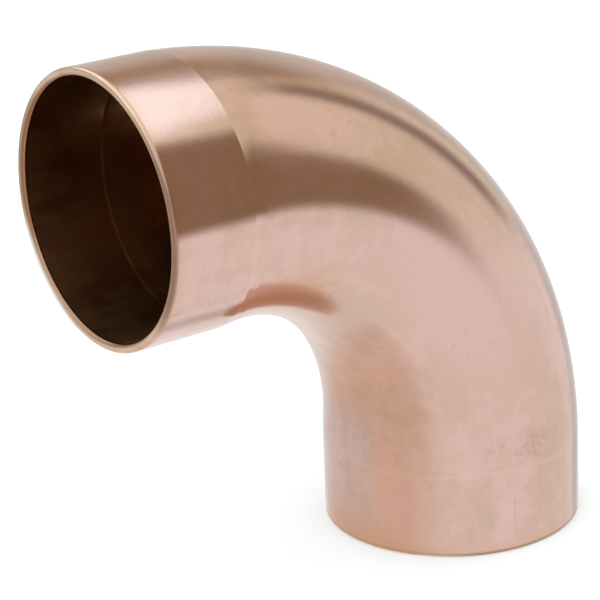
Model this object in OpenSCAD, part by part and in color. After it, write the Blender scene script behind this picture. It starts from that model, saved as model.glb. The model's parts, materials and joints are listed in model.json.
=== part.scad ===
// Copper quarter-bend elbow with a solder socket at each end, for 1-1/2 in drainage tube.
// The fitting is one formed piece. It is drawn in five zones that meet face to face:
// the bend and, at each end of it, a shoulder with the tube stop inside and a socket.
// The origin is the centre of the lower mouth. +Z runs up into the fitting, and the
// side mouth opens towards -X.

/* [Sockets] */
// Outside diameter of the tube that slides into each socket
tube_d = 41.275; // [40.5:0.005:42]
// Room on the diameter between tube and socket, which the solder fills
solder_gap = 0.155; // [0.05:0.005:0.25]
// Depth of each socket, from its mouth to the start of the tube stop
socket_depth = 14.6; // [10:0.1:28]
// Wall thickness of the sockets
socket_wall = 1.5; // [1:0.05:2.5]
// Radius on the outer edge of each mouth
rim_round = 0.5; // [0.1:0.05:0.8]

/* [Shoulders] */
// Length of the taper between each socket and the bend
shoulder_length = 2.1; // [1:0.1:6]
// How far the outside narrows along the taper
outer_step = 0.6; // [0.2:0.05:1]
// How far the tube stop stands in from the socket's wall
stop_step = 0.65; // [0.3:0.05:1.2]

/* [Bend] */
// Radius of the bend's centre line
bend_radius = 52.5; // [36:0.5:120]
// Angle that the fitting turns through
bend_angle = 90; // [30:5:90]

/* [Hidden] */
$fn = 96;
copper = "#d3a78f";
socket_ri = (tube_d + solder_gap) / 2;
socket_ro = socket_ri + socket_wall;
bend_ri = socket_ri - stop_step;
bend_ro = socket_ro - outer_step;
bend_start = socket_depth + shoulder_length;

// A straight-walled cup from the mouth at z = 0 up to the tube stop, its outer edge rounded.
module socket() {
    rotate_extrude() {
        translate([socket_ri, rim_round]) square([socket_wall, socket_depth - rim_round]);
        translate([socket_ri, 0]) square([socket_wall - rim_round, rim_round]);
        translate([socket_ro - rim_round, rim_round]) circle(r = rim_round);
    }
}

// The taper from socket to bend. Its inner wall is the cone that stops the tube.
module shoulder() {
    rotate_extrude() {
        polygon([
            [socket_ri, socket_depth],
            [socket_ro, socket_depth],
            [bend_ro, bend_start],
            [bend_ri, bend_start],
        ]);
    }
}

// Places the end of the fitting, drawn at the lower mouth, at the bend's other end.
module at_side_end() {
    translate([-bend_radius, 0, bend_start])
        rotate([0, -bend_angle, 0])
            translate([bend_radius, 0, bend_start])
                mirror([0, 0, 1])
                    children();
}

module lower_socket() {
    color(copper) socket();
}

module lower_shoulder() {
    color(copper) shoulder();
}

// A hollow quarter of a torus, whose centre line starts upright above the lower shoulder.
module bend() {
    color(copper)
        translate([-bend_radius, 0, bend_start])
            rotate([90, 0, 0])
                rotate_extrude(angle = bend_angle)
                    translate([bend_radius, 0])
                        difference() {
                            circle(r = bend_ro);
                            circle(r = bend_ri);
                        }
}

module side_shoulder() {
    color(copper) at_side_end() shoulder();
}

module side_socket() {
    color(copper) at_side_end() socket();
}

lower_socket();
lower_shoulder();
bend();
side_shoulder();
side_socket();
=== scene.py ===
"""A formed copper quarter-bend elbow: its sockets, shoulders and bend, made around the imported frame.

The elbow is drawn the way it is formed. Each piece starts on a straight pipe, where a point has a run
(distance along the pipe from the lower mouth), a radius and a turn (angle round the pipe). The pipe is
then carried round the bend. That straight-pipe place also stays on every point as an attribute, so that
draw marks follow the metal round the corner.
"""

import json
import math
from typing import NamedTuple

import bpy
from mathutils import Matrix, Vector


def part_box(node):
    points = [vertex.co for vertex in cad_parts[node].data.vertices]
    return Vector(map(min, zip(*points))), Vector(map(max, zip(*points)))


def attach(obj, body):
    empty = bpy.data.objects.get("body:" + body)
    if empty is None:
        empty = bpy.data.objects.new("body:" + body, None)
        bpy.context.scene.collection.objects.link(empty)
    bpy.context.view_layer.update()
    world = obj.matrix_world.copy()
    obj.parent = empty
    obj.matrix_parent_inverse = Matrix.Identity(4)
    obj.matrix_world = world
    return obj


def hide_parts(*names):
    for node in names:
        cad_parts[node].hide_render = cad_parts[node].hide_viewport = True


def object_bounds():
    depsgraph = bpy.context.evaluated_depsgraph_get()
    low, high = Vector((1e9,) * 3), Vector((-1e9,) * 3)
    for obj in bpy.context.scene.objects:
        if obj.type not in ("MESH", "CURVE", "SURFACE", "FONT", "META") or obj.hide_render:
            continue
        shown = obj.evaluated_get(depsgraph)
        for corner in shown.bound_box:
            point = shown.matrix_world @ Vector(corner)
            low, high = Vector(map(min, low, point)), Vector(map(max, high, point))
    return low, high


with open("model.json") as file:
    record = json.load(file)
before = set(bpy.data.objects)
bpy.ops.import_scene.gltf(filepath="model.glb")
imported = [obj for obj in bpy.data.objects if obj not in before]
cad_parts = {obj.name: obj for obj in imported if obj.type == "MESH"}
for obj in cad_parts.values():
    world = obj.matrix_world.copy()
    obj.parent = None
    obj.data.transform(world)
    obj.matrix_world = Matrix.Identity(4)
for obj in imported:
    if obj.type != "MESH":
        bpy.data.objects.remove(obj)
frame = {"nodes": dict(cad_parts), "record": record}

bl_info = {
    "name": "Copper Quarter-Bend Elbow",
    "version": (1, 0, 0),
    "blender": (4, 5, 0),
    "location": "View3D > Sidebar > Elbow",
    "description": "Makes a formed copper elbow with two solder sockets around its packed frame",
    "category": "Add Mesh",
}

MM = 0.001
QUARTER = math.pi / 2
CAD_BOX = [list(corner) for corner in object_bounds()]
PIPE_PLACE = "pipe_place"
IN_BORE = "in_bore"
SAME_HEIGHT = 0.01 * MM
SHARP_ANGLE = math.radians(40)
WELD_DISTANCE = 0.001 * MM


# ---------------------------------------------------------------- sizes from the frame

def mount(name):
    """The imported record's mount of that name."""
    return next(m for m in frame["record"]["mounts"] if m["name"] == name)


def ring_radii(node, height):
    """Smallest and largest distance from the lower socket's axis of a node's points at one height."""
    points = [v.co for v in frame["nodes"][node].data.vertices if abs(v.co.z - height) < SAME_HEIGHT]
    distances = [math.hypot(p.x, p.y) for p in points]
    return min(distances), max(distances)


SOCKET_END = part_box("lower_socket")[1].z
BEND_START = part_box("lower_shoulder")[1].z
BEND_RADIUS = -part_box("bend")[0].x
BORE_RADIUS = mount("lower_socket")["dims"]["r_mm"] * MM
SOCKET_RADIUS = ring_radii("lower_shoulder", SOCKET_END)[1]
BEND_BORE_RADIUS, BEND_OUTER_RADIUS = ring_radii("bend", BEND_START)


class ElbowSizes(bpy.types.PropertyGroup):
    """Sizes of the formed tube. Those that the frame holds take their defaults from it."""

    socket_end: bpy.props.FloatProperty(
        name="Socket depth", description="Depth of each socket, from its mouth to its shoulder",
        default=SOCKET_END, min=0.0, unit="LENGTH")
    bend_start: bpy.props.FloatProperty(
        name="Bend start", description="Distance from a mouth to the start of the bend",
        default=BEND_START, min=0.0, unit="LENGTH")
    bend_radius: bpy.props.FloatProperty(
        name="Bend radius", description="Radius of the bend's centreline",
        default=BEND_RADIUS, min=0.0, unit="LENGTH")
    socket_bore: bpy.props.FloatProperty(
        name="Socket bore radius", description="Radius inside a socket",
        default=BORE_RADIUS, min=0.0, unit="LENGTH")
    socket_radius: bpy.props.FloatProperty(
        name="Socket radius", description="Radius outside a socket",
        default=SOCKET_RADIUS, min=0.0, unit="LENGTH")
    bend_bore: bpy.props.FloatProperty(
        name="Bend bore radius", description="Radius inside the tube at the ends of the bend",
        default=BEND_BORE_RADIUS, min=0.0, unit="LENGTH")
    bend_outer: bpy.props.FloatProperty(
        name="Bend outer radius", description="Radius outside the tube at the ends of the bend",
        default=BEND_OUTER_RADIUS, min=0.0, unit="LENGTH")
    flattening: bpy.props.FloatProperty(
        name="Flattening", description="How much bending narrows the tube in its own plane, half way round",
        default=1.335 * MM, min=0.0, unit="LENGTH")
    lower_fade: bpy.props.FloatProperty(
        name="Lower fade", description="Distance in which the lower swelling falls to about a third",
        default=18.0 * MM, min=0.1 * MM, unit="LENGTH")
    side_fade: bpy.props.FloatProperty(
        name="Side fade", description="Distance in which the side swelling falls to about a third",
        default=7.0 * MM, min=0.1 * MM, unit="LENGTH")
    rim_round: bpy.props.FloatProperty(
        name="Rim rounding", description="Radius on the outer edge of each mouth",
        default=0.5 * MM, min=0.0, unit="LENGTH")
    bore_break: bpy.props.FloatProperty(
        name="Bore edge break", description="Radius on the inner edge of each mouth",
        default=0.75 * MM, min=0.0, unit="LENGTH")
    stop_lip: bpy.props.FloatProperty(
        name="Stop lip", description="Share of the tube stop that is a short lip. The rest fades away",
        default=0.07, min=0.0, max=1.0, subtype="FACTOR")
    lip_length: bpy.props.FloatProperty(
        name="Lip length", description="Length of the short lip of the tube stop",
        default=0.6 * MM, min=0.05 * MM, unit="LENGTH")
    steps_round: bpy.props.IntProperty(
        name="Steps round", description="Faces round the tube", default=160, min=16, max=512)
    steps_along: bpy.props.IntProperty(
        name="Steps along", description="Faces along the bend", default=128, min=8, max=512)


class CopperFinish(bpy.types.PropertyGroup):
    """Colours and polish of the drawn copper."""

    pink: bpy.props.FloatVectorProperty(
        name="Pink copper", description="Colour of freshly pickled copper",
        subtype="COLOR", size=3, default=(0.71, 0.485, 0.425), min=0.0, max=1.0)
    tan: bpy.props.FloatVectorProperty(
        name="Tan copper", description="Colour where the copper has started to tarnish",
        subtype="COLOR", size=3, default=(0.62, 0.43, 0.345), min=0.0, max=1.0)
    # The stain colour also darkens a thin line round each mouth's outer edge.
    stain: bpy.props.FloatVectorProperty(
        name="Handling stain", description="Colour of specks, finger marks and grime",
        subtype="COLOR", size=3, default=(0.42, 0.24, 0.19), min=0.0, max=1.0)
    # The warm tint also paints light: a painted reflection inside the bend and painted shade by the lower
    # mouth's foot.
    warm: bpy.props.FloatVectorProperty(
        name="Warm tint", description="Colour of the film beside the mouths and inside the bend",
        subtype="COLOR", size=3, default=(0.66, 0.40, 0.27), min=0.0, max=1.0)
    cut_edge: bpy.props.FloatVectorProperty(
        name="Cut edge", description="Colour of the trimmed metal at each mouth",
        subtype="COLOR", size=3, default=(0.80, 0.60, 0.48), min=0.0, max=1.0)
    bore: bpy.props.FloatVectorProperty(
        name="Bore", description="Colour of the annealed metal inside the tube",
        subtype="COLOR", size=3, default=(0.50, 0.28, 0.13), min=0.0, max=1.0)
    bore_scale: bpy.props.FloatVectorProperty(
        name="Bore scale", description="Colour of the thin dark oxide inside",
        subtype="COLOR", size=3, default=(0.27, 0.13, 0.05), min=0.0, max=1.0)
    socket_roughness: bpy.props.FloatProperty(
        name="Socket roughness", description="Roughness of the sized sockets",
        default=0.09, min=0.0, max=1.0)
    bend_roughness: bpy.props.FloatProperty(
        name="Bend roughness", description="Roughness of the bent tube",
        default=0.145, min=0.0, max=1.0)


class StudioSetting(bpy.types.PropertyGroup):
    """Camera, floor and light tent."""

    azimuth: bpy.props.FloatProperty(
        name="Camera azimuth", description="Direction of the camera round the elbow, 0 looking along +Y",
        default=math.radians(-35.976), subtype="ANGLE")
    elevation: bpy.props.FloatProperty(
        name="Camera elevation", description="Height of the camera above the horizon, as an angle",
        default=math.radians(19.659), subtype="ANGLE")
    roll: bpy.props.FloatProperty(
        name="Camera roll", description="Tilt of the camera about its line of sight",
        default=math.radians(-2.424), subtype="ANGLE")
    distance: bpy.props.FloatProperty(
        name="Camera distance", description="Distance from the camera to the middle of the elbow",
        default=402.72 * MM, unit="LENGTH")
    aim_right: bpy.props.FloatProperty(
        name="Aim to the right", description="How far right of the elbow's middle the camera looks",
        default=-6.14 * MM, unit="LENGTH")
    aim_up: bpy.props.FloatProperty(
        name="Aim up", description="How far above the elbow's middle the camera looks",
        default=-1.81 * MM, unit="LENGTH")
    lens: bpy.props.FloatProperty(
        name="Lens", description="Focal length on a 36 mm sensor, in millimetres",
        default=146.55, min=10.0)
    floor_radius: bpy.props.FloatProperty(
        name="Floor radius", description="Radius of the round floor", default=4.0, unit="LENGTH")


# ---------------------------------------------------------------- node helpers

def socket_of(sockets, key):
    """A node's socket by its place, or the first enabled one with that name."""
    if isinstance(key, int):
        return sockets[key]
    return next(s for s in sockets if s.name == key and s.enabled)


def add_node(tree, kind, inputs=None, **settings):
    """A new node in tree with its settings made and its inputs filled or wired."""
    made = tree.nodes.new(kind)
    for name, value in settings.items():
        setattr(made, name, value)
    for key, value in (inputs or {}).items():
        target = socket_of(made.inputs, key)
        if isinstance(value, bpy.types.NodeSocket):
            tree.links.new(value, target)
        else:
            target.default_value = value
    return made


def maths(tree, operation, first, second=0.0, third=0.0):
    """The result of one Math node."""
    return add_node(tree, "ShaderNodeMath", {0: first, 1: second, 2: third}, operation=operation).outputs[0]


def scaled(tree, vector, factors):
    """vector with each axis multiplied by its factor."""
    made = add_node(tree, "ShaderNodeVectorMath", {0: vector, 1: factors}, operation="MULTIPLY")
    return made.outputs[0]


def facing(tree, vector, towards):
    """Cosine of the level angle between a vector and a level unit vector."""
    level = add_node(tree, "ShaderNodeVectorMath", {0: scaled(tree, vector, (1.0, 1.0, 0.0))},
                     operation="NORMALIZE").outputs[0]
    made = add_node(tree, "ShaderNodeVectorMath", {0: level, 1: towards}, operation="DOT_PRODUCT")
    return made.outputs["Value"]


def ramp(tree, value, low, high, out_low=0.0, out_high=1.0):
    """value carried smoothly from the range low..high to out_low..out_high."""
    inputs = {0: value, 1: low, 2: high, 3: out_low, 4: out_high}
    return add_node(tree, "ShaderNodeMapRange", inputs, interpolation_type="SMOOTHSTEP").outputs[0]


def noise(tree, vector, scale, detail=2.0, distortion=0.0):
    """A noise of that many features in a metre."""
    inputs = {"Vector": vector, "Scale": scale, "Detail": detail, "Distortion": distortion}
    return add_node(tree, "ShaderNodeTexNoise", inputs).outputs[0]


def mixed(tree, factor, first, second):
    """The colour between first and second."""
    colours = [c if isinstance(c, bpy.types.NodeSocket) else (*c, 1.0) for c in (first, second)]
    made = add_node(tree, "ShaderNodeMix", {0: factor, 6: colours[0], 7: colours[1]}, data_type="RGBA")
    return made.outputs[2]


def bumped(tree, height, distance, normal=None):
    """The normal after a relief of that height in metres."""
    inputs = {"Height": height, "Distance": distance}
    if normal is not None:
        inputs["Normal"] = normal
    return add_node(tree, "ShaderNodeBump", inputs).outputs[0]


# ---------------------------------------------------------------- copper finishes

# How many features of each pattern there are in a metre
CLOUDS, DRAW_MARKS, MOTTLE, GRAIN, WAVES = 55.0, 420.0, 430.0, 2300.0, 60.0
HANDLED, SPECKS, SPECKLE = 48.0, 800.0, 1300.0
TURNED_RINGS, NICKS = 14000.0, 230.0
OXIDE_PATCHES, BORE_MARKS = 120.0, 300.0
# Scale of the draw marks' pattern across, aside and along the pipe, outside and in the bore
DRAWN_OUT, DRAWN_IN = (1.0, 1.0, 0.10), (1.0, 1.0, 0.15)
# Height of each relief
WAVE_RELIEF, DRAW_RELIEF, GRAIN_RELIEF = 0.05 * MM, 0.002 * MM, 0.003 * MM
RING_RELIEF, BORE_RELIEF = 0.010 * MM, 0.02 * MM
# How far from its line each band is whole, and where it has faded away
RIDGE_BAND = (0.05 * MM, 0.75 * MM)
DARK_RIM_LINE_BAND = (0.10 * MM, 0.40 * MM)
BORE_EDGE_DARK_BAND = (0.10 * MM, 0.75 * MM)
MOUTH_BAND = (1.5 * MM, 4.5 * MM)
MOUTH_UNEVEN = 3.0 * MM
# How strongly each colour is laid on. The ridge polish is burnished metal and a painted highlight together.
MOUTH_WARMTH, RIDGE_POLISH_AND_HIGHLIGHT, SPECK_STAIN, NICK_STAIN, DARK_RIM_LINE_STRENGTH = 0.5, 0.2, 0.42, 0.35, 0.5
# What each pattern adds to the roughness at most, and the roughness that it is added to
GRAIN_ROUGH, SPECK_ROUGH, MOTTLE_ROUGH = 0.06, 0.12, 0.05
RING_ROUGH, EDGE_ROUGHNESS = 0.12, 0.14
OXIDE_ROUGH, BORE_ROUGHNESS = 0.15, 0.28
# Taken off a piece's own roughness first, since grain and mottle together add about this much
ROUGH_OFFSET = 0.05


def new_metal(name):
    """An empty metal material, its tree, its shader and the two places that patterns are laid out on."""
    material = bpy.data.materials.new(name)
    material.use_nodes = True
    tree = material.node_tree
    shader = tree.nodes["Principled BSDF"]
    shader.inputs["Metallic"].default_value = 1.0
    place = add_node(tree, "ShaderNodeTexCoord").outputs["Object"]
    pipe = add_node(tree, "ShaderNodeAttribute", attribute_name=PIPE_PLACE).outputs["Vector"]
    return material, tree, shader, place, pipe


def from_mouth(tree, pipe):
    """Distance along the pipe from the nearer mouth."""
    run = add_node(tree, "ShaderNodeSeparateXYZ", {0: pipe}).outputs[2]
    far = maths(tree, "SUBTRACT", pipe_length(bpy.context.scene.elbow_sizes), run)
    return maths(tree, "MINIMUM", run, far)


def ridge_polish_and_highlight_mask(tree, pipe, uneven):
    """Up to 1 along the ridge where a socket meets its shoulder, burnished unevenly and with a painted
    highlight, and 0 elsewhere.
    """
    ridge = bpy.context.scene.elbow_sizes.socket_end
    from_ridge = maths(tree, "ABSOLUTE", maths(tree, "SUBTRACT", from_mouth(tree, pipe), ridge))
    band = ramp(tree, from_ridge, *RIDGE_BAND, 1.0, 0.0)
    return maths(tree, "MULTIPLY", band, ramp(tree, uneven, 0.30, 0.62))


def dark_rim_line_mask(tree, pipe):
    """1 on a thin darker line round each mouth, where the trimmed face meets the outer wall."""
    line_place = bpy.context.scene.elbow_sizes.rim_round
    off_line = maths(tree, "ABSOLUTE", maths(tree, "SUBTRACT", from_mouth(tree, pipe), line_place))
    return ramp(tree, off_line, *DARK_RIM_LINE_BAND, 1.0, 0.0)


def mark_mask(tree, pipe, mark):
    """Up to the mark's strength in the middle of one mark, falling to 0 at its edge."""
    run, turn, length, width, strength = mark
    radius = bpy.context.scene.elbow_sizes.socket_radius
    centre = (radius * math.cos(math.radians(turn)), radius * math.sin(math.radians(turn)), run * MM)
    offset = add_node(tree, "ShaderNodeVectorMath", {0: pipe, 1: centre}, operation="SUBTRACT").outputs[0]
    shaped = scaled(tree, offset, (1 / (width * MM), 1 / (width * MM), 1 / (length * MM)))
    distance = add_node(tree, "ShaderNodeVectorMath", {0: shaped}, operation="LENGTH").outputs["Value"]
    return ramp(tree, distance, 0.2, 1.0, strength, 0.0)


def mouth_mask(tree, pipe, uneven):
    """Up to 1 at the trimmed mouths, where the metal has a warm film, fading in a few millimetres."""
    near = maths(tree, "MULTIPLY_ADD", uneven, MOUTH_UNEVEN, from_mouth(tree, pipe))
    return ramp(tree, near, *MOUTH_BAND, 1.0, 0.0)


# A mark is its run from the lower mouth (mm), its turn round the pipe (degrees, 0 on the outside of the
# bend), its half length and half width (mm) and its strength.
HANDLING_MARKS = [
    (18, -90, 4.5, 9.0, 0.60),
    (19.5, -112, 3.0, 6.0, 0.40),
    (8, -101, 8.0, 0.35, 0.6),
    (13.5, 174, 2.5, 5.0, 0.6),
    (114.5, -122, 1.8, 1.4, 1.0),
    (107, -5, 7.0, 8.0, 0.55),
    (94.5, -20, 4.5, 9.0, 0.7),
    (27, -146, 9.0, 7.0, 0.25),
]
# Warm marks that paint light: a painted reflection of the elbow's own copper inside the bend by the side
# shoulder, and painted shade by the foot of the lower mouth.
WARM_REFLECTION_AND_SHADE_MARKS = [
    (88, -132, 17.0, 8.0, 0.9),
    (1.5, 178, 6.0, 15.0, 0.8),
]
PINK_MARKS = [
    (52, -100, 36.0, 18.0, 1.0),
]
# Painted highlight and painted shade on the trimmed faces, set by the turn round the mouth: the cream tone at
# 132 degrees is a painted highlight, and the darker tones are painted shade.
RIM_PAINTED_LIGHT_SOFT = 14
RIM_PAINTED_LIGHT = [
    # turn round the mouth, half width (degrees), tone, how much of it
    (78, 34, (0.40, 0.27, 0.18), 0.75),
    (-86, 42, (0.27, 0.15, 0.10), 0.85),
    (132, 20, (1.0, 0.93, 0.86), 0.90),
    (-20, 30, (0.62, 0.38, 0.22), 0.55),
    (180, 26, (0.78, 0.53, 0.38), 0.60),
]


def outer_copper(name, roughness):
    """Drawn and pickled copper: pink and tan clouds, draw marks along the pipe, grain, marks and specks, with
    painted reflection and painted shade in warm patches and a painted highlight along each ridge.
    """
    finish = bpy.context.scene.copper_finish
    material, tree, shader, place, pipe = new_metal(name)
    clouds = noise(tree, place, CLOUDS, 3.0, 0.6)
    streaks = noise(tree, scaled(tree, pipe, DRAWN_OUT), DRAW_MARKS, 2.0)
    mottle = noise(tree, place, MOTTLE, 4.0, 0.4)
    grain = noise(tree, place, GRAIN, 2.0)
    tone = maths(tree, "MULTIPLY_ADD", streaks, 0.35, maths(tree, "MULTIPLY_ADD", mottle, 0.45, clouds))
    colour = mixed(tree, ramp(tree, tone, 0.72, 1.08), finish.pink, finish.tan)
    warmth = maths(tree, "MULTIPLY", mouth_mask(tree, pipe, mottle), MOUTH_WARMTH)
    colour = mixed(tree, warmth, colour, finish.warm)
    for mark in PINK_MARKS:
        colour = mixed(tree, mark_mask(tree, pipe, mark), colour, finish.pink)
    # Painted reflection inside the bend and painted shade by the lower mouth's foot.
    for mark in WARM_REFLECTION_AND_SHADE_MARKS:
        colour = mixed(tree, mark_mask(tree, pipe, mark), colour, finish.warm)
    # Burnished metal and a painted highlight along each ridge, towards the cut edge's colour.
    polish = maths(tree, "MULTIPLY", ridge_polish_and_highlight_mask(tree, pipe, mottle), RIDGE_POLISH_AND_HIGHLIGHT)
    colour = mixed(tree, polish, colour, finish.cut_edge)
    handled = ramp(tree, noise(tree, place, HANDLED, 2.0), 0.50, 0.75, 0.0, 0.5)
    specks = maths(tree, "MULTIPLY", ramp(tree, noise(tree, place, SPECKS, 3.0), 0.56, 0.74), handled)
    speckle = ramp(tree, noise(tree, place, SPECKLE, 5.0), 0.36, 0.72)
    for mark in HANDLING_MARKS:
        marked = maths(tree, "MULTIPLY", mark_mask(tree, pipe, mark), speckle)
        specks = maths(tree, "MAXIMUM", specks, marked)
    # A darker line round each mouth's outer edge, laid on with the specks.
    specks = maths(tree, "MAXIMUM", specks, dark_rim_line_mask(tree, pipe))
    colour = mixed(tree, maths(tree, "MULTIPLY", specks, SPECK_STAIN), colour, finish.stain)
    tree.links.new(colour, shader.inputs["Base Color"])
    rough = maths(tree, "MULTIPLY_ADD", grain, GRAIN_ROUGH, roughness - ROUGH_OFFSET)
    rough = maths(tree, "MULTIPLY_ADD", specks, SPECK_ROUGH, rough)
    tree.links.new(maths(tree, "MULTIPLY_ADD", mottle, MOTTLE_ROUGH, rough), shader.inputs["Roughness"])
    waves = bumped(tree, noise(tree, place, WAVES, 1.0), WAVE_RELIEF)
    drawn = bumped(tree, streaks, DRAW_RELIEF, waves)
    tree.links.new(bumped(tree, grain, GRAIN_RELIEF, drawn), shader.inputs["Normal"])
    return material


def edge_copper():
    """Trimmed mouth: fine turned rings, stained nicks, patches of painted highlight and painted shade round
    the mouth, and darkening towards the bore.
    """
    finish = bpy.context.scene.copper_finish
    material, tree, shader, place, pipe = new_metal("copper_cut_edge")
    across = add_node(tree, "ShaderNodeVectorMath", {0: scaled(tree, pipe, (1.0, 1.0, 0.0))},
                      operation="LENGTH").outputs["Value"]
    rings = noise(tree, add_node(tree, "ShaderNodeCombineXYZ", {0: across}).outputs[0], TURNED_RINGS, 1.0)
    nicks = ramp(tree, noise(tree, place, NICKS, 3.0), 0.40, 0.72)
    colour = mixed(tree, maths(tree, "MULTIPLY", nicks, NICK_STAIN), finish.cut_edge, finish.stain)
    # Painted highlight and painted shade in patches round the mouth.
    for turn, half, tone, amount in RIM_PAINTED_LIGHT:
        middle = (math.cos(math.radians(turn)), math.sin(math.radians(turn)), 0.0)
        ends = [math.cos(math.radians(half + soft)) for soft in (RIM_PAINTED_LIGHT_SOFT, -RIM_PAINTED_LIGHT_SOFT)]
        painted_rim_patch = ramp(tree, facing(tree, pipe, middle), *ends, 0.0, amount)
        colour = mixed(tree, painted_rim_patch, colour, tone)
    inner = bpy.context.scene.elbow_sizes.socket_bore
    # Darker towards the bore, blended into the bore's dark scale colour.
    darker_by_bore = ramp(tree, across, *(inner + reach for reach in BORE_EDGE_DARK_BAND), 1.0, 0.0)
    colour = mixed(tree, darker_by_bore, colour, finish.bore_scale)
    # The darker line round the mouth's outer edge.
    dark_rim_line = maths(tree, "MULTIPLY", dark_rim_line_mask(tree, pipe), DARK_RIM_LINE_STRENGTH)
    colour = mixed(tree, dark_rim_line, colour, finish.stain)
    tree.links.new(colour, shader.inputs["Base Color"])
    tree.links.new(maths(tree, "MULTIPLY_ADD", rings, RING_ROUGH, EDGE_ROUGHNESS), shader.inputs["Roughness"])
    tree.links.new(bumped(tree, rings, RING_RELIEF), shader.inputs["Normal"])
    return material


def bore_copper():
    """Annealed inside: brown, dull, with patches of thin dark oxide."""
    finish = bpy.context.scene.copper_finish
    material, tree, shader, place, pipe = new_metal("copper_bore")
    patches = noise(tree, place, OXIDE_PATCHES, 4.0, 0.8)
    streaks = noise(tree, scaled(tree, pipe, DRAWN_IN), BORE_MARKS, 3.0)
    oxide = ramp(tree, maths(tree, "MULTIPLY_ADD", streaks, 0.5, patches), 0.55, 0.95)
    tree.links.new(mixed(tree, oxide, finish.bore, finish.bore_scale), shader.inputs["Base Color"])
    rough = maths(tree, "MULTIPLY_ADD", oxide, OXIDE_ROUGH, BORE_ROUGHNESS)
    tree.links.new(rough, shader.inputs["Roughness"])
    tree.links.new(bumped(tree, streaks, BORE_RELIEF), shader.inputs["Normal"])
    return material


def finish_set(surface, roughness):
    """The finishes of one piece: its own outer copper, then the shared cut edge and bore."""
    outside = outer_copper("copper_" + surface, roughness)
    edge = bpy.data.materials.get("copper_cut_edge") or edge_copper()
    bore = bpy.data.materials.get("copper_bore") or bore_copper()
    return [outside, edge, bore]


OUTSIDE, EDGE, BORE = range(3)


# ---------------------------------------------------------------- turned pieces on the straight pipe

LAND = 0.05 * MM
WALL_STEPS, RIM_STEPS, FACE_STEPS, BREAK_STEPS, SHOULDER_STEPS = 14, 10, 2, 6, 20


def arc(centre_run, centre_radius, size, start, sweep, steps):
    """Points on an arc in the plane of run and radius. Angles are in quarter turns from the run axis."""
    angles = [(start + sweep * i / steps) * QUARTER for i in range(steps + 1)]
    return [(centre_run + size * math.cos(a), centre_radius + size * math.sin(a)) for a in angles]


def line(first, last, steps, land=LAND):
    """Points between two ends, with a short land by each end that keeps the shading there true."""
    length = math.dist(first, last)
    shares = [land / length, *(i / steps for i in range(1, steps)), 1 - land / length]
    return [tuple(a + (b - a) * share for a, b in zip(first, last)) for share in shares]


def bent(sizes, run, across, aside):
    """Where a point of the straight pipe lies once it is bent. Across is towards the outside of the bend."""
    arc_length = sizes.bend_radius * QUARTER
    angle = min(max((run - sizes.bend_start) / arc_length, 0.0), 1.0) * QUARTER
    straight = run - sizes.bend_start - angle * sizes.bend_radius
    reach = sizes.bend_radius + across
    x = -sizes.bend_radius + reach * math.cos(angle) - straight * math.sin(angle)
    z = sizes.bend_start + reach * math.sin(angle) + straight * math.cos(angle)
    return (x, aside, z)


def pipe_length(sizes):
    """Length of the straight pipe, from mouth to mouth."""
    return 2 * sizes.bend_start + sizes.bend_radius * QUARTER


def turned_piece(name, outline, finishes, far_end):
    """A closed ring made by turning an outline about the pipe's axis, at the lower or the far end.

    The outline is a list of stretches, each a finish and its points as (run, radius), in order.
    """
    sizes = bpy.context.scene.elbow_sizes
    points = []
    surfaces = []
    for surface, stretch in outline:
        points += stretch
        surfaces += [surface] * len(stretch)
    if far_end:
        whole = pipe_length(sizes)
        points = [(whole - run, radius) for run, radius in points]
    count, steps = len(points), sizes.steps_round
    corners, places = [], []
    for run, radius in points:
        for step in range(steps):
            turn = 2 * math.pi * step / steps
            across, aside = radius * math.cos(turn), radius * math.sin(turn)
            corners.append(bent(sizes, run, across, aside))
            places.append((across, aside, run))
    faces, face_surfaces = [], []
    for i in range(count):
        here, there = i * steps, (i + 1) % count * steps
        for step in range(steps):
            after = (step + 1) % steps
            face = (here + step, here + after, there + after, there + step)
            faces.append(face if far_end else face[::-1])
            face_surfaces.append(surfaces[i])
    mesh = bpy.data.meshes.new(name)
    mesh.from_pydata(corners, [], faces)
    for material in finishes:
        mesh.materials.append(material)
    mesh.polygons.foreach_set("material_index", face_surfaces)
    mesh.attributes.new(PIPE_PLACE, "FLOAT_VECTOR", "POINT").data.foreach_set(
        "vector", [value for place in places for value in place])
    return finished_piece(name, mesh)


def finished_piece(name, mesh):
    """A smooth-shaded object at the origin that stands for the CAD node of the same name."""
    mesh.polygons.foreach_set("use_smooth", [True] * len(mesh.polygons))
    mesh.set_sharp_from_angle(angle=SHARP_ANGLE)
    mesh.update()
    piece = bpy.data.objects.new("copper_" + name, mesh)
    bpy.context.scene.collection.objects.link(piece)
    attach(piece, "root")
    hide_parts(name)
    return piece


def socket_outline(sizes):
    """Socket: outer wall, rounded rim, mouth, inner edge break and bore, then back past the shoulder."""
    end, outer, bore = sizes.socket_end, sizes.socket_radius, sizes.socket_bore
    lip, broken = sizes.rim_round, sizes.bore_break
    return [
        (OUTSIDE, [(end, outer), *line((end, outer), (lip, outer), WALL_STEPS)]),
        (EDGE, arc(lip, outer - lip, lip, 1, 1, RIM_STEPS)),
        (EDGE, line((0, outer - lip), (0, bore + broken), FACE_STEPS)),
        (EDGE, arc(broken, bore + broken, broken, 2, 1, BREAK_STEPS)),
        (BORE, [*line((broken, bore), (end, bore), WALL_STEPS), (end, bore)]),
    ]


def eased(share):
    """A smooth step from 0 to 1."""
    return share * share * (3 - 2 * share)


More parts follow.
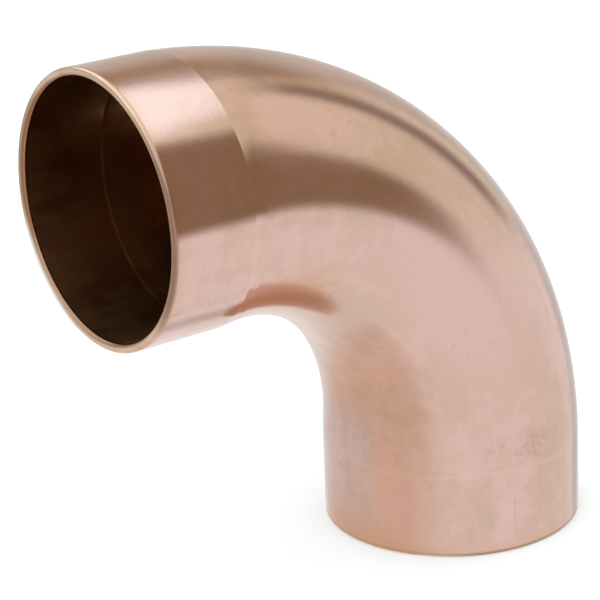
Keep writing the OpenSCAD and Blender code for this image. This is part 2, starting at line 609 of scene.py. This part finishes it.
def shoulder_outline(sizes, fade):
    """Shoulder: a swelling that fades away along the pipe, with the short lip of the tube stop inside."""
    length = sizes.bend_start - sizes.socket_end
    swelling = sizes.socket_radius - sizes.bend_outer
    stop = sizes.socket_bore - sizes.bend_bore
    outer, inner = [], []
    for past in (length * i / SHOULDER_STEPS for i in range(SHOULDER_STEPS + 1)):
        faded = math.exp(-past / fade)
        lip = 1 - eased(min(past / sizes.lip_length, 1.0))
        kept = (1 - sizes.stop_lip) * faded + sizes.stop_lip * lip
        outer.append((sizes.socket_end + past, sizes.bend_outer + swelling * faded))
        inner.append((sizes.socket_end + past, sizes.bend_bore + stop * kept))
    return [(OUTSIDE, outer[::-1]), (BORE, inner)]


# ---------------------------------------------------------------- the bend, grown by nodes

class BendTree:
    """The node tree that grows the bend's four skins and joins them into one closed wall."""

    INPUTS = {
        "NodeSocketFloat": ("Bend Radius", "Bend Start", "Bend Angle", "Outer Radius", "Bore Radius",
                            "Flattening", "Outer Swelling", "Bore Swelling", "Shoulder Length",
                            "Lower Fade", "Side Fade"),
        "NodeSocketInt": ("Steps Along", "Steps Round"),
        "NodeSocketMaterial": ("Outside Finish", "Bore Finish"),
    }

    def __init__(self):
        self.tree = tree = bpy.data.node_groups.new("formed_bend", "GeometryNodeTree")
        tree.interface.new_socket("Wall", in_out="OUTPUT", socket_type="NodeSocketGeometry")
        for kind, names in self.INPUTS.items():
            for name in names:
                tree.interface.new_socket(name, in_out="INPUT", socket_type=kind)
        self.given = add_node(tree, "NodeGroupInput").outputs
        self.place = add_node(tree, "ShaderNodeSeparateXYZ",
                              {0: add_node(tree, "GeometryNodeInputPosition").outputs[0]}).outputs

    def share(self, axis):
        """The share from 0 to 1 across a unit grid."""
        return maths(self.tree, "ADD", self.place[axis], 0.5)

    def skin(self, along, radius, run_share):
        """One skin: a grid whose second direction goes round the pipe, at a radius and share of the bend."""
        tree, given = self.tree, self.given
        rows = maths(tree, "ADD", given["Steps Round"], 1.0)
        grid = add_node(tree, "GeometryNodeMeshGrid",
                        {"Size X": 1.0, "Size Y": 1.0, "Vertices X": along, "Vertices Y": rows})
        turn = maths(tree, "MULTIPLY", self.share(1), 2 * math.pi)
        angle = maths(tree, "MULTIPLY", run_share, given["Bend Angle"])
        cosine, sine = maths(tree, "COSINE", turn), maths(tree, "SINE", turn)
        half_way = maths(tree, "SINE", maths(tree, "MULTIPLY", run_share, math.pi))
        narrowed = maths(tree, "MULTIPLY", half_way, given["Flattening"])
        in_plane = maths(tree, "MULTIPLY", maths(tree, "SUBTRACT", radius, narrowed), cosine)
        aside = maths(tree, "MULTIPLY", radius, sine)
        reach = maths(tree, "ADD", given["Bend Radius"], in_plane)
        x = maths(tree, "SUBTRACT", maths(tree, "MULTIPLY", reach, maths(tree, "COSINE", angle)),
                  given["Bend Radius"])
        z = maths(tree, "MULTIPLY_ADD", reach, maths(tree, "SINE", angle), given["Bend Start"])
        run = maths(tree, "MULTIPLY_ADD", angle, given["Bend Radius"], given["Bend Start"])
        straight = add_node(tree, "ShaderNodeCombineXYZ",
                            {0: maths(tree, "MULTIPLY", radius, cosine), 1: aside, 2: run}).outputs[0]
        marked = add_node(tree, "GeometryNodeStoreNamedAttribute",
                          {"Geometry": grid.outputs["Mesh"], "Name": PIPE_PLACE, "Value": straight},
                          data_type="FLOAT_VECTOR", domain="POINT").outputs[0]
        position = add_node(tree, "ShaderNodeCombineXYZ", {0: x, 1: aside, 2: z}).outputs[0]
        placed = add_node(tree, "GeometryNodeSetPosition", {"Geometry": marked, "Position": position})
        return placed.outputs[0]

    def swollen_radius(self, surface, run_share):
        """The Outer or Bore radius at a share of the bend, swollen towards both shoulders."""
        tree, given = self.tree, self.given
        arc_length = maths(tree, "MULTIPLY", given["Bend Radius"], given["Bend Angle"])
        share_left = maths(tree, "SUBTRACT", 1.0, run_share)
        swollen = 0.0
        for share, fade in ((run_share, "Lower Fade"), (share_left, "Side Fade")):
            distance = maths(tree, "MULTIPLY_ADD", arc_length, share, given["Shoulder Length"])
            fades = maths(tree, "MULTIPLY", maths(tree, "DIVIDE", distance, given[fade]), -1.0)
            swollen = maths(tree, "ADD", maths(tree, "EXPONENT", fades), swollen)
        return maths(tree, "MULTIPLY_ADD", swollen, given[surface + " Swelling"], given[surface + " Radius"])

    def wall_radius(self, run_share):
        """The radius on an end face, from the bore to the outside across its grid."""
        outer, bore = self.swollen_radius("Outer", run_share), self.swollen_radius("Bore", run_share)
        wall = maths(self.tree, "SUBTRACT", outer, bore)
        return maths(self.tree, "MULTIPLY_ADD", wall, self.share(0), bore)

    def build(self):
        """Wires the whole tree and gives it back."""
        tree, given = self.tree, self.given
        along = maths(tree, "ADD", given["Steps Along"], 1.0)
        outside = self.skin(along, self.swollen_radius("Outer", self.share(0)), self.share(0))
        lining = self.skin(along, self.swollen_radius("Bore", self.share(0)), self.share(0))
        lower_end = self.skin(2, self.wall_radius(0.0), 0.0)
        side_end = self.skin(2, self.wall_radius(1.0), 1.0)
        bore = add_node(tree, "GeometryNodeStoreNamedAttribute",
                        {"Geometry": lining, "Name": IN_BORE, "Value": True},
                        data_type="BOOLEAN", domain="FACE").outputs[0]
        turned = self.joined(outside, lower_end)
        outward = add_node(tree, "GeometryNodeFlipFaces", {"Mesh": turned}).outputs[0]
        closed = add_node(tree, "GeometryNodeMergeByDistance",
                          {"Geometry": self.joined(outward, bore, side_end),
                           "Distance": WELD_DISTANCE}).outputs[0]
        real = add_node(tree, "GeometryNodeRealizeInstances", {"Geometry": closed}).outputs[0]
        in_bore = add_node(tree, "GeometryNodeInputNamedAttribute", {"Name": IN_BORE}, data_type="BOOLEAN")
        faced = add_node(tree, "GeometryNodeSetMaterial",
                         {"Geometry": real, "Material": given["Outside Finish"]}).outputs[0]
        lined = add_node(tree, "GeometryNodeSetMaterial",
                         {"Geometry": faced, "Selection": in_bore.outputs[0],
                          "Material": given["Bore Finish"]}).outputs[0]
        add_node(tree, "NodeGroupOutput", {0: lined})
        return tree

    def joined(self, *parts):
        """Several meshes as one."""
        join = self.tree.nodes.new("GeometryNodeJoinGeometry")
        for part in parts:
            self.tree.links.new(part, join.inputs[0])
        return join.outputs[0]


def grown_mesh(name, tree, values):
    """The plain mesh that a node tree gives for these named values."""
    holder = bpy.data.objects.new(name + "_holder", bpy.data.meshes.new(name + "_seed"))
    bpy.context.scene.collection.objects.link(holder)
    modifier = holder.modifiers.new("grow", "NODES")
    modifier.node_group = tree
    for item in tree.interface.items_tree:
        if item.in_out == "INPUT" and item.name in values:
            modifier[item.identifier] = values[item.name]
    graph = bpy.context.evaluated_depsgraph_get()
    mesh = bpy.data.meshes.new_from_object(holder.evaluated_get(graph), depsgraph=graph)
    mesh.name = name
    bpy.data.objects.remove(holder)
    return mesh


# ---------------------------------------------------------------- studio

class Card(NamedTuple):
    """A soft-edged card in the light tent, placed by direction from the elbow. Its angles are in degrees.

    Each side leans in by lean for each degree above the pivot, as far as LEAN_REACH, and curves in by
    curve times the square of the degrees below it.
    """

    azimuth: float
    half_width: float
    low: float
    high: float
    soft: float
    light: tuple
    lean: float = 0.0
    curve: float = 0.0


LEAN_PIVOT, LEAN_REACH = 4, 18
WALL_LOW, WALL_HIGH, WALL_TOP = (0.89, 0.87, 0.76), (0.935, 0.88, 0.75), 50
WALL_CARDS = {
    "far corner": Card(180, 66, -90, 95, 4, (0.69, 0.655, 0.60)),
    "dark gap": Card(98.5, 6, -1, 44, 5, (0.33, 0.275, 0.25)),
    "brown band": Card(160, 55, 32, 42, 13, (0.335, 0.20, 0.08)),
}
PAPER = (1.0, 1.0, 1.0)
PAPER_EDGE, PAPER_EDGE_SOFT = -3, 8
PAPER_CARDS = {
    "shaded side": Card(-120, 62, -90, 95, 25, (0.84, 0.73, 0.62)),
    "far edge": Card(180, 65, -28, 95, 12, (0.82, 0.83, 0.84)),
    "right corner": Card(112, 9, -60, 95, 6, (0.72, 0.72, 0.73)),
}
BLACK_FLAG = Card(36, 20.5, -14.4, 100, 5, (0.34, 0.24, 0.164), lean=0.40, curve=0.038)
# The softbox is overhead, up to an edge along Y at this slope of X over Z. It fades in between two heights,
# each the sine of its elevation.
SOFTBOX, SOFTBOX_EDGE, SOFTBOX_SOFT, SOFTBOX_RISE = (1.48, 1.66, 1.74), 0.666, 0.047, (0.3, 0.5)
BACKDROP_LIGHT = (1.0, 1.0, 1.0)
FLOOR_STEPS, FLOOR_SHADE, FLOOR_GLOW = 96, 0.93, 0.12
SENSOR_WIDTH, CLIP_START, CLIP_END = 36.0, 0.02, 20.0


def off_azimuth(tree, towards, azimuth):
    """How many degrees round the horizon a direction lies from an azimuth."""
    middle = (math.sin(math.radians(azimuth)), -math.cos(math.radians(azimuth)), 0.0)
    return maths(tree, "DEGREES", maths(tree, "ARCCOSINE", facing(tree, towards, middle)))


def tent_card(tree, towards, elevation, card, behind):
    """The light of one card laid over what is behind it, with soft edges."""
    soft = card.soft
    above = maths(tree, "MAXIMUM", maths(tree, "SUBTRACT", elevation, LEAN_PIVOT), 0.0)
    above = maths(tree, "MINIMUM", above, LEAN_REACH)
    below = maths(tree, "MAXIMUM", maths(tree, "SUBTRACT", LEAN_PIVOT, elevation), 0.0)
    off = maths(tree, "MULTIPLY_ADD", above, card.lean, off_azimuth(tree, towards, card.azimuth))
    off = maths(tree, "MULTIPLY_ADD", maths(tree, "MULTIPLY", below, below), card.curve, off)
    inside = ramp(tree, off, card.half_width - soft, card.half_width + soft, 1.0, 0.0)
    over = ramp(tree, elevation, card.low - soft, card.low + soft)
    under = ramp(tree, elevation, card.high - soft, card.high + soft, 1.0, 0.0)
    mask = maths(tree, "MULTIPLY", maths(tree, "MULTIPLY", inside, over), under)
    return mixed(tree, mask, behind, card.light)


def tent_light(tree):
    """The light that the metal mirrors, by direction: paper below, walls above, then flag and softbox."""
    towards = add_node(tree, "ShaderNodeTexCoord").outputs["Generated"]
    axes = add_node(tree, "ShaderNodeSeparateXYZ", {0: towards}).outputs
    elevation = maths(tree, "DEGREES", maths(tree, "ARCSINE", axes[2]))
    walls = mixed(tree, ramp(tree, elevation, 0, WALL_TOP), WALL_LOW, WALL_HIGH)
    for card in WALL_CARDS.values():
        walls = tent_card(tree, towards, elevation, card, walls)
    paper = PAPER
    for card in PAPER_CARDS.values():
        paper = tent_card(tree, towards, elevation, card, paper)
    over_edge = ramp(tree, elevation, PAPER_EDGE - PAPER_EDGE_SOFT, PAPER_EDGE + PAPER_EDGE_SOFT)
    tent = tent_card(tree, towards, elevation, BLACK_FLAG, mixed(tree, over_edge, paper, walls))
    overhead = maths(tree, "DIVIDE", axes[0], maths(tree, "MAXIMUM", axes[2], 0.001))
    box = ramp(tree, overhead, SOFTBOX_EDGE - SOFTBOX_SOFT, SOFTBOX_EDGE + SOFTBOX_SOFT, 1.0, 0.0)
    box = maths(tree, "MULTIPLY", box, ramp(tree, axes[2], *SOFTBOX_RISE))
    return mixed(tree, box, tent, SOFTBOX)


def light_tent():
    """A tent of soft light, seen in the metal, and a white backdrop seen directly."""
    world = bpy.data.worlds.new("light_tent")
    world.use_nodes = True
    tree = world.node_tree
    tree.nodes.clear()
    tent = add_node(tree, "ShaderNodeBackground", {0: tent_light(tree), 1: 1.0}).outputs[0]
    backdrop = add_node(tree, "ShaderNodeBackground", {0: (*BACKDROP_LIGHT, 1.0), 1: 1.0}).outputs[0]
    seen = add_node(tree, "ShaderNodeLightPath").outputs["Is Camera Ray"]
    shown = add_node(tree, "ShaderNodeMixShader", {0: seen, 1: tent, 2: backdrop}).outputs[0]
    add_node(tree, "ShaderNodeOutputWorld", {0: shown})
    bpy.context.scene.world = world


def studio_floor(radius):
    """A pale round floor that the lower rim stands on."""
    turns = [2 * math.pi * i / FLOOR_STEPS for i in range(FLOOR_STEPS)]
    rim = [(radius * math.cos(turn), radius * math.sin(turn), 0.0) for turn in turns]
    mesh = bpy.data.meshes.new("studio_floor")
    mesh.from_pydata(rim, [], [list(range(FLOOR_STEPS))])
    paper = bpy.data.materials.new("pale_paper")
    paper.use_nodes = True
    shader = paper.node_tree.nodes["Principled BSDF"]
    shader.inputs["Base Color"].default_value = (FLOOR_SHADE, FLOOR_SHADE, FLOOR_SHADE, 1.0)
    shader.inputs["Roughness"].default_value = 1.0
    shader.inputs["Specular IOR Level"].default_value = 0.0
    shader.inputs["Emission Color"].default_value = (1.0, 1.0, 1.0, 1.0)
    shader.inputs["Emission Strength"].default_value = FLOOR_GLOW
    mesh.materials.append(paper)
    floor = bpy.data.objects.new("studio_floor", mesh)
    bpy.context.scene.collection.objects.link(floor)
    floor.visible_glossy = False


def studio_camera(setting):
    """A long lens at the elbow's front left, looking a little down."""
    low, high = (Vector(corner) for corner in CAD_BOX)
    back = Vector((math.sin(setting.azimuth) * math.cos(setting.elevation),
                   -math.cos(setting.azimuth) * math.cos(setting.elevation),
                   math.sin(setting.elevation)))
    level = Vector((math.cos(setting.azimuth), math.sin(setting.azimuth), 0.0))
    upright = back.cross(level)
    right = level * math.cos(setting.roll) + upright * math.sin(setting.roll)
    up = upright * math.cos(setting.roll) - level * math.sin(setting.roll)
    data = bpy.data.cameras.new("studio_camera")
    data.sensor_width = SENSOR_WIDTH
    data.lens = setting.lens
    data.clip_start, data.clip_end = CLIP_START, CLIP_END
    camera = bpy.data.objects.new("studio_camera", data)
    bpy.context.scene.collection.objects.link(camera)
    place = (low + high) / 2 + back * setting.distance + right * setting.aim_right + up * setting.aim_up
    camera.matrix_world = Matrix.Translation(place) @ Matrix((right, up, back)).transposed().to_4x4()
    bpy.context.scene.camera = camera


# ---------------------------------------------------------------- operators

class ELBOW_OT_stage(bpy.types.Operator):
    """Sets up the floor, the light tent and the camera"""

    bl_idname = "elbow.stage"
    bl_label = "Stage"

    def execute(self, context):
        setting = context.scene.studio_setting
        studio_camera(setting)
        light_tent()
        studio_floor(setting.floor_radius)
        context.scene.view_settings.view_transform = "Standard"
        return {"FINISHED"}


class ELBOW_OT_bend(bpy.types.Operator):
    """Grows the quarter bend, with its slight flattening half way round"""

    bl_idname = "elbow.bend"
    bl_label = "Bend"

    def execute(self, context):
        sizes = context.scene.elbow_sizes
        outside, _, bore = finish_set("bend", context.scene.copper_finish.bend_roughness)
        values = {
            "Bend Radius": sizes.bend_radius,
            "Bend Start": sizes.bend_start,
            "Outer Radius": sizes.bend_outer,
            "Bore Radius": sizes.bend_bore,
            "Flattening": sizes.flattening,
            "Outer Swelling": sizes.socket_radius - sizes.bend_outer,
            "Bore Swelling": (sizes.socket_bore - sizes.bend_bore) * (1 - sizes.stop_lip),
            "Shoulder Length": sizes.bend_start - sizes.socket_end,
            "Lower Fade": sizes.lower_fade,
            "Side Fade": sizes.side_fade,
            "Bend Angle": QUARTER,
            "Steps Along": sizes.steps_along,
            "Steps Round": sizes.steps_round,
            "Outside Finish": outside,
            "Bore Finish": bore,
        }
        finished_piece("bend", grown_mesh("bend", BendTree().build(), values))
        return {"FINISHED"}


class ELBOW_OT_shoulders(bpy.types.Operator):
    """Makes the two shoulders, where each socket steps down to the bend"""

    bl_idname = "elbow.shoulders"
    bl_label = "Shoulders"

    def execute(self, context):
        finishes = finish_set("shoulder", context.scene.copper_finish.socket_roughness)
        sizes = context.scene.elbow_sizes
        turned_piece("lower_shoulder", shoulder_outline(sizes, sizes.lower_fade), finishes, far_end=False)
        turned_piece("side_shoulder", shoulder_outline(sizes, sizes.side_fade), finishes, far_end=True)
        return {"FINISHED"}


class ELBOW_OT_sockets(bpy.types.Operator):
    """Makes the two solder sockets with their trimmed rims"""

    bl_idname = "elbow.sockets"
    bl_label = "Sockets"

    def execute(self, context):
        finishes = finish_set("socket", context.scene.copper_finish.socket_roughness)
        outline = socket_outline(context.scene.elbow_sizes)
        turned_piece("lower_socket", outline, finishes, far_end=False)
        turned_piece("side_socket", outline, finishes, far_end=True)
        return {"FINISHED"}


OPERATORS = (ELBOW_OT_stage, ELBOW_OT_bend, ELBOW_OT_shoulders, ELBOW_OT_sockets)


class ELBOW_PT_maker(bpy.types.Panel):
    """Lists the steps that make the elbow"""

    bl_label = "Elbow"
    bl_idname = "ELBOW_PT_maker"
    bl_space_type = "VIEW_3D"
    bl_region_type = "UI"
    bl_category = "Elbow"

    def draw(self, context):
        for operator in OPERATORS:
            self.layout.operator(operator.bl_idname)


CLASSES = (ElbowSizes, CopperFinish, StudioSetting, *OPERATORS, ELBOW_PT_maker)
GROUPS = {"elbow_sizes": ElbowSizes, "copper_finish": CopperFinish, "studio_setting": StudioSetting}


def register():
    for cls in CLASSES:
        bpy.utils.register_class(cls)
    for name, group in GROUPS.items():
        setattr(bpy.types.Scene, name, bpy.props.PointerProperty(type=group))


def unregister():
    for name in GROUPS:
        delattr(bpy.types.Scene, name)
    for cls in reversed(CLASSES):
        bpy.utils.unregister_class(cls)


def main():
    register()
    bpy.ops.elbow.stage()
    bpy.ops.elbow.bend()
    bpy.ops.elbow.shoulders()
    bpy.ops.elbow.sockets()


if __name__ == "__main__":
    main()
